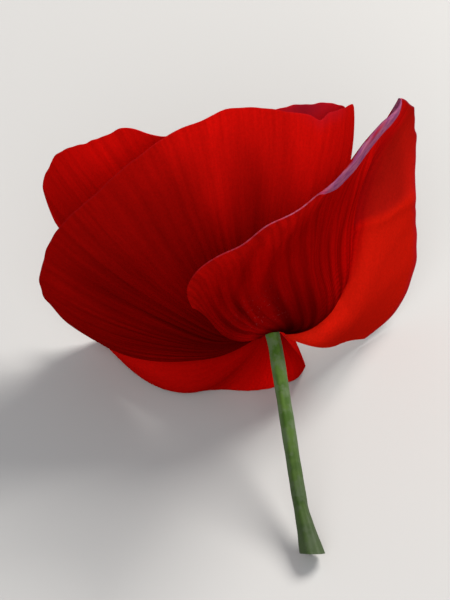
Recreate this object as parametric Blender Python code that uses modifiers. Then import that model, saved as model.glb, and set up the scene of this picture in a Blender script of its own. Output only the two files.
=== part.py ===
# A common poppy flower, cut with a short piece of its stem and laid on its side.
# Four petals in two pairs stand round a seed head and a ring of stamens.
# Units are metres, +Z is up, and the flower's own axis rises from the surface.

import math
import random

import bmesh
import bpy
from mathutils import Matrix, Vector

MM = 0.001

# How the cut flower lies
HEAD_RISE = math.radians(20)          # the flower's axis above the surface
HEAD_LEAN = math.radians(12)          # the flower's axis to the left of +Y
RECEPTACLE = Vector((6.87, 2.8, 18.0)) * MM
STEM_END_REACH = 39.0 * MM            # from the receptacle back to the cut end, along -Y
STEM_END_SIDE = 6.6 * MM

# Stem and receptacle
STEM_RADIUS = 1.38 * MM
STEM_NECK_RADIUS = 1.22 * MM          # just above the flared cut end
STEM_CUT_RADIUS = 2.2 * MM
STEM_END_HEIGHT = 2.085 * MM          # the flared end just touches the surface
STEM_FLARE_LENGTH = 9.0 * MM
STEM_SAG = 1.2 * MM
STEM_THICKEN_SHARE = 0.5              # of the stem's length, from the neck to full width
STEM_RINGS = 15
STEM_BEVEL_STEPS = 2
RECEPTACLE_RADIUS = 2.0 * MM
RECEPTACLE_TOP = 2.6 * MM
RECEPTACLE_FOOT = 2.4 * MM
RECEPTACLE_ROUNDING = 0.3 * MM
RECEPTACLE_RINGS = (                  # height along the axis, and radius
    (-1.4 * MM, STEM_RADIUS + 0.2 * MM),
    (-0.6 * MM, RECEPTACLE_RADIUS),
    (RECEPTACLE_TOP - RECEPTACLE_ROUNDING, RECEPTACLE_RADIUS),
    (RECEPTACLE_TOP, RECEPTACLE_RADIUS - RECEPTACLE_ROUNDING),
)

# Petals, in millimetres and degrees. Spreads are angles round the axis, from the
# petal's left margin to its right one. Walls, flares and lengths are given at six
# veins, evenly from left to right: the lean of the wall away from the axis, the
# lean reached far out along the vein, and the vein's length.
BASE_RADIUS = 2.3
BASE_LEAN = 108.0
WALL_LENGTH = 15.0
FLARE_LENGTH = 46.0
LAYER_PITCH = 1.0
PETAL_THICKNESS = 0.6 * MM
GATHER_POWER = 1.6                    # how fast a petal fans out from its base
FOLD_DEPTH = 3.2
FOLD_WIDTH = 0.07
FOLD_FULL = 0.45                      # shares of the vein where the fold is full,
FOLD_FADE_START = 0.65                # where it begins to fade
FOLD_FADE_SPAN = 0.35
ROUNDED_SHARE = 0.12
FLOOR_BLEND = 2.0
PETAL_COLUMNS = 44
PETAL_ROWS = 11
PETAL_STEPS_PER_ROW = 4

PETALS = {
    "petal_right": dict(
        layer=0,
        spread_base=(158, -19),
        spread_rim=(124, -44),
        wall=(82, 76, 46, 25, 41, 64),
        flare=(104, 96, 63, 44, 45, 90),
        length=(34, 42, 49, 50.5, 41, 30),
        rounding=(0.25, 0.10),
        fold=(1.0, 0.48),
    ),
    "petal_left": dict(
        layer=1,
        spread_base=(197, 76),
        spread_rim=(209, 35),
        wall=(73, 66, 59, 46, 45, 33),
        flare=(30, 41, 42, 33, 21, 11),
        length=(40, 44, 45, 47, 45, 49),
        rounding=(0.12, 0.0),
    ),
    "petal_back": dict(
        layer=2,
        spread_base=(166, 71),
        spread_rim=(189, 48),
        wall=(52, 41, 39, 42, 27, 18),
        flare=(24, 28, 34, 39, 41, 46),
        length=(56, 54, 49, 44, 45, 47),
        rounding=(0.12, 0.10),
    ),
    "petal_under": dict(
        layer=2,
        spread_base=(217, 308),
        spread_rim=(193, 288),
        wall=(53, 93, 106, 109, 106, 92),
        flare=(28, 30, 23, 4, -10, -21),
        length=(45, 46, 46, 45, 43, 40),
        rounding=(0.15, 0.12),
        wall_length=10.0,
        bend_length=37.5,
    ),
}

# Waves of the petal sheets, the same function for all four so that layers nest
PLEAT_COUNT = 22
PLEAT_HEIGHT = 0.22
PLEAT_GROWTH = 20.0
RUFFLES = ((17, 0.55, 0.4), (29, 0.30, 2.1))     # count round, height, phase
RUFFLE_START = 26.0
RUFFLE_SPAN = 16.0

# Seed head and stamens stand this far along the axis, clear of the receptacle
HEAD_FOOT = RECEPTACLE_TOP + 0.3 * MM

# Seed head: radius and height of its profile, in millimetres
DISC_FOOT = 7.3
DISC_EDGE = 3.6
SEED_HEAD_PROFILE = (
    (0.0, 0.0), (1.25, 0.0), (1.5, 0.8), (2.3, 2.6), (2.75, 4.6), (2.7, 6.0),
    (2.45, 6.9), (3.5, DISC_FOOT), (DISC_EDGE, 7.7), (2.9, 8.2), (1.6, 8.7), (0.0, 9.1),
)
SEED_HEAD_RAYS = 12
STEPS_PER_RAY = 4
RAY_HEIGHT = 0.45 * MM
RAY_FADE = 1.6 * MM                   # the rays sink into the middle of the disc
SCALLOP = 0.07
NEAR = 0.1 * MM

# Stamens
STAMEN_COUNT = 62
STAMEN_SEED = 7
STAMEN_RING_RADIUS = 2.1 * MM
STAMEN_RING_WALL = 0.35 * MM
STAMEN_RING_SIDES = 28
STAMEN_RING_WALL_SIDES = 6
STAMEN_LENGTH = (7.0 * MM, 9.5 * MM)
STAMEN_SPLAY = (math.radians(25), math.radians(62))
STAMEN_TIERS = (0.0, 0.5, 1.0, 0.25, 0.75)
STAMEN_TURN_JITTER = 0.25
STAMEN_SPLAY_JITTER = math.radians(4)
FILAMENT_SIDES = 3
FILAMENT_ROLL = 5
FILAMENT_RADIUS = 0.16 * MM
FILAMENT_TIP_RADIUS = 0.11 * MM
ANTHER_LENGTH = 1.3 * MM
ANTHER_RADIUS = 0.42 * MM

# Colour and roughness
PETAL_LOOK = ((0.50, 0.006, 0.004), 0.55)
STEM_LOOK = ((0.11, 0.19, 0.06), 0.6)
SEED_HEAD_LOOK = ((0.12, 0.17, 0.05), 0.65)
STAMEN_LOOK = ((0.018, 0.010, 0.022), 0.7)


def clear_scene():
    for obj in list(bpy.data.objects):
        bpy.data.objects.remove(obj, do_unlink=True)
    for coll in list(bpy.data.collections):
        bpy.data.collections.remove(coll)


def new_collection(name):
    coll = bpy.data.collections.new(name)
    bpy.context.scene.collection.children.link(coll)
    return coll


def move_to(obj, coll):
    for old in list(obj.users_collection):
        old.objects.unlink(obj)
    coll.objects.link(obj)


def make_material(name, look):
    colour, roughness = look
    mat = bpy.data.materials.new(name)
    mat.use_nodes = True
    shader = mat.node_tree.nodes["Principled BSDF"]
    shader.inputs["Base Color"].default_value = (*colour, 1.0)
    shader.inputs["Roughness"].default_value = roughness
    shader.inputs["Metallic"].default_value = 0.0
    return mat


def apply_modifiers(obj):
    bpy.context.view_layer.objects.active = obj
    for mod in list(obj.modifiers):
        bpy.ops.object.modifier_apply(modifier=mod.name)


def flower_frame():
    """Axis of the flower and the two directions across it, the second one upward."""
    axis = Vector((
        -math.sin(HEAD_LEAN) * math.cos(HEAD_RISE),
        math.cos(HEAD_LEAN) * math.cos(HEAD_RISE),
        math.sin(HEAD_RISE),
    ))
    up = Vector((0, 0, 1))
    upward = (up - up.dot(axis) * axis).normalized()
    return axis, axis.cross(upward), upward


AXIS, ACROSS, UPWARD = flower_frame()


def head_matrix(height):
    """Frame with +Z along the flower's axis, its origin at a height above the base."""
    origin = RECEPTACLE + AXIS * height
    turn = Matrix((UPWARD, ACROSS, AXIS)).transposed().to_4x4()
    return Matrix.Translation(origin) @ turn


def ease(value):
    value = min(max(value, 0.0), 1.0)
    return value * value * (3.0 - 2.0 * value)


def blend(values, share):
    """Smooth curve through evenly spaced values."""
    padded = (2 * values[0] - values[1], *values, 2 * values[-1] - values[-2])
    place = min(max(share, 0.0), 1.0) * (len(values) - 1)
    i = min(int(place), len(values) - 2)
    f = place - i
    a, b, c, d = padded[i:i + 4]
    return b + 0.5 * f * ((c - a) + f * ((2 * a - 5 * b + 4 * c - d) + f * (3 * (b - c) + d - a)))


def vein_length(petal, across):
    """Length of the vein, shortened where the petal's two outer corners are rounded."""
    left = max(0.0, 1.0 - across / ROUNDED_SHARE)
    right = max(0.0, 1.0 - (1.0 - across) / ROUNDED_SHARE)
    cut_left, cut_right = petal["rounding"]
    length = blend(petal["length"], across)
    return length * (1.0 - cut_left * left ** 2) * (1.0 - cut_right * right ** 2)


def vein_lean(petal, across, along):
    """Angle between the vein and the flower's axis at a distance along it."""
    wall = blend(petal["wall"], across)
    flare = blend(petal["flare"], across)
    wall_length = petal.get("wall_length", WALL_LENGTH)
    rise = ease(along / wall_length)
    if "bend_length" in petal:
        out = ease((along - wall_length) / (petal["bend_length"] - wall_length))
    else:
        out = max(0.0, (along - wall_length) / (FLARE_LENGTH - wall_length))
    return math.radians(BASE_LEAN + (wall - BASE_LEAN) * rise + (flare - wall) * out)


def vein_turn(petal, across, share):
    """Angle round the flower's axis, the petal fanning out from its narrow base."""
    gather = (1.0 - share) ** GATHER_POWER
    left = petal["spread_rim"][0] + (petal["spread_base"][0] - petal["spread_rim"][0]) * gather
    right = petal["spread_rim"][1] + (petal["spread_base"][1] - petal["spread_rim"][1]) * gather
    return math.radians(left + (right - left) * across)


def sheet_offset(petal, across, share, turn, along):
    """How far the sheet lies inside the outermost layer: its layer, fold and waves."""
    offset = petal["layer"] * LAYER_PITCH
    if "fold" in petal:
        start, end = petal["fold"]
        line = start + (end - start) * share
        strength = ease(share / FOLD_FULL) * (1.0 - ease((share - FOLD_FADE_START) / FOLD_FADE_SPAN))
        offset += FOLD_DEPTH * strength * math.exp(-((across - line) / FOLD_WIDTH) ** 2)
    offset += PLEAT_HEIGHT * ease(along / PLEAT_GROWTH) * math.sin(PLEAT_COUNT * turn)
    edge = ease((along - RUFFLE_START) / RUFFLE_SPAN)
    for count, height, phase in RUFFLES:
        offset += edge * height * math.sin(count * turn + phase)
    return offset


def rest_on_surface(point):
    """Lay what would sink below the surface flat on it, with a soft bend above."""
    level = PETAL_THICKNESS / 2
    soft = FLOOR_BLEND * MM
    depth = point.z - level
    if depth < soft:
        point.z = level + max(0.0, depth + soft) ** 2 / (4 * soft)
    return point


def petal_column(petal, across, shares):
    """Points of one vein, from its seat on the receptacle to the rim."""
    length = vein_length(petal, across)
    seat = petal["layer"] * LAYER_PITCH * math.cos(math.radians(BASE_LEAN))
    radius, height, done = BASE_RADIUS + seat, 0.0, 0.0
    points = []
    for share in shares:
        step = (share * length - done) / PETAL_STEPS_PER_ROW
        for _ in range(PETAL_STEPS_PER_ROW):
            lean = vein_lean(petal, across, done + step / 2)
            radius += math.sin(lean) * step
            height += math.cos(lean) * step
            done += step
        lean = vein_lean(petal, across, done)
        turn = vein_turn(petal, across, share)
        inset = sheet_offset(petal, across, share, turn, done)
        r = (radius - inset * math.cos(lean)) * MM
        h = (height + inset * math.sin(lean)) * MM
        out = ACROSS * math.cos(turn) + UPWARD * math.sin(turn)
        points.append(rest_on_surface(RECEPTACLE + out * r + AXIS * h))
    return points


def make_petal(name, petal, coll, mat):
    bpy.ops.mesh.primitive_grid_add(
        x_subdivisions=PETAL_COLUMNS, y_subdivisions=PETAL_ROWS, size=2.0, location=(0, 0, 0))
    obj = bpy.context.object
    obj.name = name
    columns = {}
    for vert in obj.data.vertices:
        columns.setdefault(round(vert.co.x, 5), []).append(vert)
    for x, verts in columns.items():
        verts.sort(key=lambda v: v.co.y)
        shares = [(v.co.y + 1.0) / 2.0 for v in verts]
        for vert, point in zip(verts, petal_column(petal, (x + 1.0) / 2.0, shares)):
            vert.co = point
    obj.modifiers.new("Triangles", 'TRIANGULATE')
    thick = obj.modifiers.new("Thickness", 'SOLIDIFY')
    thick.thickness = PETAL_THICKNESS
    thick.offset = 0.0
    apply_modifiers(obj)
    obj.data.materials.append(mat)
    move_to(obj, coll)


def stem_centre(share):
    """Middle line of the stem, from its cut end at 0 to the receptacle's foot at 1."""
    top = RECEPTACLE - AXIS * RECEPTACLE_FOOT
    end = Vector((
        RECEPTACLE.x + STEM_END_SIDE,
        RECEPTACLE.y - STEM_END_REACH,
        STEM_END_HEIGHT,
    ))
    handle = (top - end).length / 3
    before_top = top - AXIS * handle
    after_end = end + (before_top - end).normalized() * handle - Vector((0, 0, STEM_SAG))
    s, r = share, 1.0 - share
    return r ** 3 * end + 3 * r * r * s * after_end + 3 * r * s * s * before_top + s ** 3 * top


def stem_radius(distance, total):
    """Radius along the stem: flared at the cut, thin above it, thicker to the flower."""
    flare = (1.0 - ease(distance / STEM_FLARE_LENGTH)) * (STEM_CUT_RADIUS - STEM_NECK_RADIUS)
    thicken = ease((distance - STEM_FLARE_LENGTH) / (total * STEM_THICKEN_SHARE))
    return STEM_NECK_RADIUS + flare + thicken * (STEM_RADIUS - STEM_NECK_RADIUS)


def make_stem(coll, mat):
    """Stem and receptacle, grown as one piece."""
    total = (stem_centre(1.0) - stem_centre(0.0)).length
    rings = []
    for i in range(STEM_RINGS):
        share = i / (STEM_RINGS - 1)
        rings.append((stem_centre(share), stem_radius(share * total, total)))
    for height, radius in RECEPTACLE_RINGS:
        rings.append((RECEPTACLE + AXIS * height, radius))
    curve = bpy.data.curves.new("stem", 'CURVE')
    curve.dimensions = '3D'
    curve.bevel_depth = 1.0
    curve.bevel_resolution = STEM_BEVEL_STEPS
    curve.use_fill_caps = True
    line = curve.splines.new('POLY')
    line.points.add(len(rings) - 1)
    for point, (centre, radius) in zip(line.points, rings):
        point.co = (*centre, 1.0)
        point.radius = radius
    obj = bpy.data.objects.new("stem", curve)
    coll.objects.link(obj)
    obj.data.materials.append(mat)


def make_seed_head(coll, mat):
    """Ovary under a rayed disc."""
    mesh = bpy.data.meshes.new("seed_head")
    bm = bmesh.new()
    verts = [bm.verts.new((r * MM, 0.0, z * MM)) for r, z in SEED_HEAD_PROFILE]
    for a, b in zip(verts, verts[1:]):
        bm.edges.new((a, b))
    bm.to_mesh(mesh)
    bm.free()
    obj = bpy.data.objects.new("seed_head", mesh)
    coll.objects.link(obj)
    turned = obj.modifiers.new("Turned", 'SCREW')
    turned.axis = 'Z'
    turned.steps = SEED_HEAD_RAYS * STEPS_PER_RAY
    turned.render_steps = SEED_HEAD_RAYS * STEPS_PER_RAY
    turned.use_merge_vertices = True
    turned.merge_threshold = 0.00001
    turned.use_normal_calculate = True
    apply_modifiers(obj)
    for vert in obj.data.vertices:
        reach = math.hypot(vert.co.x, vert.co.y)
        above_foot = vert.co.z - DISC_FOOT * MM
        if above_foot < -NEAR or reach < NEAR:
            continue
        ray = math.cos(SEED_HEAD_RAYS * math.atan2(vert.co.y, vert.co.x))
        if above_foot > NEAR:
            vert.co.z += RAY_HEIGHT * max(0.0, ray) * min(1.0, reach / RAY_FADE)
        scallop = 1.0 + SCALLOP * ray * ease(reach / (DISC_EDGE * MM))
        vert.co.x *= scallop
        vert.co.y *= scallop
    obj.data.transform(head_matrix(HEAD_FOOT))
    obj.data.materials.append(mat)


def add_piece(name, bm, place, coll):
    bmesh.ops.transform(bm, matrix=place, verts=bm.verts)
    mesh = bpy.data.meshes.new(name)
    bm.to_mesh(mesh)
    bm.free()
    coll.objects.link(bpy.data.objects.new(name, mesh))


def make_stamen(index, length, splay, turn, coll):
    """One filament, its root sunk into the ring, and the anther on its tip."""
    place = Matrix.Rotation(turn, 4, 'Z')
    place = place @ Matrix.Translation((STAMEN_RING_RADIUS, 0, STAMEN_RING_WALL))
    place = place @ Matrix.Rotation(splay, 4, 'Y') @ Matrix.Rotation(turn * FILAMENT_ROLL, 4, 'Z')
    filament = bmesh.new()
    bmesh.ops.create_cone(
        filament, cap_ends=True, segments=FILAMENT_SIDES, radius1=FILAMENT_RADIUS,
        radius2=FILAMENT_TIP_RADIUS, depth=length,
        matrix=Matrix.Translation((0, 0, length / 2)))
    add_piece("filament_%03d" % index, filament, place, coll)
    anther = bmesh.new()
    size = Matrix.Diagonal((ANTHER_RADIUS, ANTHER_RADIUS, ANTHER_LENGTH / 2, 1.0))
    bmesh.ops.create_icosphere(anther, subdivisions=1, radius=1.0)
    add_piece("anther_%03d" % index, anther, place @ Matrix.Translation((0, 0, length)) @ size, coll)


def make_stamens(coll, cutters, mat):
    """Ring of stamens round the seed head, fused into the ring at their roots."""
    bpy.ops.mesh.primitive_torus_add(
        major_radius=STAMEN_RING_RADIUS, minor_radius=STAMEN_RING_WALL,
        major_segments=STAMEN_RING_SIDES, minor_segments=STAMEN_RING_WALL_SIDES,
        location=(0, 0, STAMEN_RING_WALL))
    ring = bpy.context.object
    ring.name = "stamens"
    bpy.ops.object.transform_apply(location=True, rotation=False, scale=False)
    move_to(ring, coll)
    rng = random.Random(STAMEN_SEED)
    for i in range(STAMEN_COUNT):
        turn = i + rng.uniform(-STAMEN_TURN_JITTER, STAMEN_TURN_JITTER)
        turn *= 2 * math.pi / STAMEN_COUNT
        tier = STAMEN_TIERS[i % len(STAMEN_TIERS)]
        splay = STAMEN_SPLAY[0] + (STAMEN_SPLAY[1] - STAMEN_SPLAY[0]) * tier
        splay += rng.uniform(-STAMEN_SPLAY_JITTER, STAMEN_SPLAY_JITTER)
        length = rng.uniform(*STAMEN_LENGTH)
        make_stamen(i, length, splay, turn, cutters)
    join = ring.modifiers.new("Grown together", 'BOOLEAN')
    join.operation = 'UNION'
    join.operand_type = 'COLLECTION'
    join.collection = cutters
    join.solver = 'MANIFOLD'
    apply_modifiers(ring)
    for obj in list(cutters.objects):
        bpy.data.objects.remove(obj, do_unlink=True)
    ring.data.transform(head_matrix(HEAD_FOOT))
    ring.data.materials.clear()
    ring.data.materials.append(mat)


def main():
    clear_scene()
    flower = new_collection("poppy_flower")
    cutters = new_collection("cutters")
    red = make_material("petal_red", PETAL_LOOK)
    green = make_material("stem_green", STEM_LOOK)
    head_green = make_material("seed_head_green", SEED_HEAD_LOOK)
    dark = make_material("stamen_dark", STAMEN_LOOK)
    make_stem(flower, green)
    for name, petal in PETALS.items():
        make_petal(name, petal, flower, red)
    make_seed_head(flower, head_green)
    make_stamens(flower, cutters, dark)
    bpy.data.collections.remove(cutters)


main()
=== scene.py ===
import math
import random

import bmesh
import bpy
import numpy as np
from mathutils import Matrix, Vector


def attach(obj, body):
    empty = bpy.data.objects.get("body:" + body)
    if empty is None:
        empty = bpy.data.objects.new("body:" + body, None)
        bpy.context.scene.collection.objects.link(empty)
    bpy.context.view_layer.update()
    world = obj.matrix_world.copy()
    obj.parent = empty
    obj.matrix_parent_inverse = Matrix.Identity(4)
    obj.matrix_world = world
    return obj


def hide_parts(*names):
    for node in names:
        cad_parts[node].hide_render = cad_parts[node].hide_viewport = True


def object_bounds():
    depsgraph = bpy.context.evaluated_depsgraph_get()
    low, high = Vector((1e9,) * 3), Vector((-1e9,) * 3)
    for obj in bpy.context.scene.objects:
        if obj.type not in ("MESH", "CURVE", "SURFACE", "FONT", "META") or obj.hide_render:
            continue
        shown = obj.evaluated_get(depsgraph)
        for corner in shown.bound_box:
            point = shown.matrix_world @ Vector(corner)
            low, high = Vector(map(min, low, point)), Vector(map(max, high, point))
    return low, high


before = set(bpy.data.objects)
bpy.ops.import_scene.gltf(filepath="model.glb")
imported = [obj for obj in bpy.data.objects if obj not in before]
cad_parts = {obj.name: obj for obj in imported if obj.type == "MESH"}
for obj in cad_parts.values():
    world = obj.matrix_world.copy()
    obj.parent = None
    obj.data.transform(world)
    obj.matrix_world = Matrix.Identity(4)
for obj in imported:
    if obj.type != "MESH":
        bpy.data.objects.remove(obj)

mm = 0.001
cadLow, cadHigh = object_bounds()
print("frame loaded, box", [round(v / mm, 1) for v in cadHigh - cadLow], "mm")


# The flower as it lies: where its petals are seated, and which way it looks
flower = {
    "seat": (41.82, 39.72, 18.0),      # receptacle, mm from the low corner of the solids
    "rise": 20.0,                      # degrees of the flower's axis above the surface
    "lean": 12.0,                      # degrees of the axis to the left of +Y
    "baseRadius": 2.3,                 # mm from the axis to the base of the outermost petal
    "baseLean": 108.0,                 # degrees between the axis and a vein at its base
    "layerPitch": 1.0,
    "thickness": 0.2,
}


def flowerAxes():
    rise, lean = math.radians(flower["rise"]), math.radians(flower["lean"])
    axis = Vector((-math.sin(lean) * math.cos(rise), math.cos(lean) * math.cos(rise), math.sin(rise)))
    up = Vector((0, 0, 1))
    upward = (up - up.dot(axis) * axis).normalized()
    return axis, axis.cross(upward), upward


receptacle = cadLow + Vector(flower["seat"]) * mm
axis, acrossway, upward = flowerAxes()


def headMatrix(height):      # from upright at the origin to the flower's axis
    turn = Matrix((upward, acrossway, axis)).transposed().to_4x4()
    return Matrix.Translation(receptacle + axis * height) @ turn


def deselect():
    if bpy.context.mode != 'OBJECT':
        bpy.ops.object.mode_set(mode='OBJECT')
    bpy.ops.object.select_all(action='DESELECT')


def pick(obj):
    deselect()
    obj.select_set(True)
    bpy.context.view_layer.objects.active = obj


def applyAll(obj):
    pick(obj)
    for mod in list(obj.modifiers):
        bpy.ops.object.modifier_apply(modifier=mod.name)


def faceOutwards(obj):
    pick(obj)
    bpy.ops.object.mode_set(mode='EDIT')
    bpy.ops.mesh.select_all(action='SELECT')
    bpy.ops.mesh.normals_make_consistent(inside=False)
    bpy.ops.object.mode_set(mode='OBJECT')


def coords(obj):
    flat = np.empty(len(obj.data.vertices) * 3)
    obj.data.vertices.foreach_get("co", flat)
    return flat.reshape(-1, 3)


def setCoords(obj, points):
    obj.data.vertices.foreach_set("co", np.ascontiguousarray(points, dtype=float).ravel())
    obj.data.update()


def pointVector(obj, name, values):
    layer = obj.data.attributes.new(name, 'FLOAT_VECTOR', 'POINT')
    layer.data.foreach_set("vector", np.ascontiguousarray(values, dtype=np.float32).ravel())


def finishPiece(obj, slotName, *nodes):
    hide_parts(*nodes)
    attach(obj, "root")
    print("  made", obj.name, len(obj.data.polygons), "faces")


def ease(value):
    value = np.clip(value, 0.0, 1.0)
    return value * value * (3.0 - 2.0 * value)


def rise(value, start, over):      # from 0 at start to 1 when over has passed
    return ease((value - start) / over)


def bump(value, centre, width):
    return np.exp(-((value - centre) / width) ** 2)


def blend(values, share):      # a smooth curve through evenly spaced values
    padded = np.concatenate([[2 * values[0] - values[1]], values, [2 * values[-1] - values[-2]]])
    place = np.clip(share, 0.0, 1.0) * (len(values) - 1)
    i = np.minimum(place.astype(int), len(values) - 2)
    f = place - i
    a, b, c, d = (padded[i + k] for k in range(4))
    return b + 0.5 * f * ((c - a) + f * ((2 * a - 5 * b + 4 * c - d) + f * (3 * (b - c) + d - a)))


class Nodes:      # a material's nodes, added one at a time
    def __init__(self, name):
        self.material = bpy.data.materials.new(name)
        self.material.use_nodes = True
        self.tree = self.material.node_tree
        self.tree.nodes.clear()

    def add(self, kind, inputs=(), **settings):
        node = self.tree.nodes.new(kind)
        for key, value in settings.items():
            setattr(node, key, value)
        for key, value in dict(inputs).items():
            if isinstance(value, bpy.types.NodeSocket):
                self.tree.links.new(value, node.inputs[key])
            else:
                node.inputs[key].default_value = value
        return node

    def math(self, operation, a, b=0.0):
        return self.add('ShaderNodeMath', {0: a, 1: b}, operation=operation).outputs[0]

    def times(self, a, b):
        return self.math('MULTIPLY', a, b)

    def plus(self, a, b):
        return self.math('ADD', a, b)

    def span(self, value, low, high, toLow=0.0, toHigh=1.0):
        node = self.add('ShaderNodeMapRange', {0: value, 1: low, 2: high, 3: toLow, 4: toHigh},
                        interpolation_type='SMOOTHSTEP')
        return node.outputs[0]

    def fall(self, value, low, high, strength=1.0):
        return self.span(value, low, high, strength, 0.0)

    def mix(self, factor, a, b, blendType='MIX'):
        node = self.add('ShaderNodeMix', data_type='RGBA', blend_type=blendType)
        for socket, value in zip((node.inputs[0], node.inputs[6], node.inputs[7]), (factor, a, b)):
            if isinstance(value, bpy.types.NodeSocket):
                self.tree.links.new(value, socket)
            elif isinstance(value, (tuple, list)):
                socket.default_value = (*value, 1.0)
            else:
                socket.default_value = value
        return node.outputs[2]

    def shaded(self, colour, value):
        grey = self.add('ShaderNodeCombineColor', {0: value, 1: value, 2: value}).outputs[0]
        return self.mix(1.0, colour, grey, 'MULTIPLY')

    def noise(self, vector, scale, detail=2.0, roughness=0.5):
        return self.add('ShaderNodeTexNoise', {
            "Vector": vector, "Scale": scale, "Detail": detail, "Roughness": roughness}).outputs[0]

    def stretched(self, vector, acrossScale, alongScale, detail, roughness):
        scaled = self.add('ShaderNodeMapping', {0: vector, 3: (acrossScale, alongScale, 1.0)}).outputs[0]
        return self.noise(scaled, 1.0, detail, roughness)

    def objectCoords(self):
        return self.add('ShaderNodeTexCoord').outputs["Object"]

    def attribute(self, name):
        return self.add('ShaderNodeAttribute', attribute_name=name).outputs["Vector"]

    def parts(self, vector):
        return self.add('ShaderNodeSeparateXYZ', {0: vector}).outputs

    def relief(self, height, strength, depth):
        return self.add('ShaderNodeBump', {
            "Strength": strength, "Distance": depth * mm, "Height": height}).outputs[0]

    def skin(self, colour, normal, roughness, gloss):
        return self.add('ShaderNodeBsdfPrincipled', {
            "Base Color": colour, "Normal": normal,
            "Roughness": roughness, "Specular IOR Level": gloss}).outputs[0]

    def finish(self, shader):
        out = self.add('ShaderNodeOutputMaterial')
        self.tree.links.new(shader, out.inputs["Surface"])
        return self.material


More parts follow.
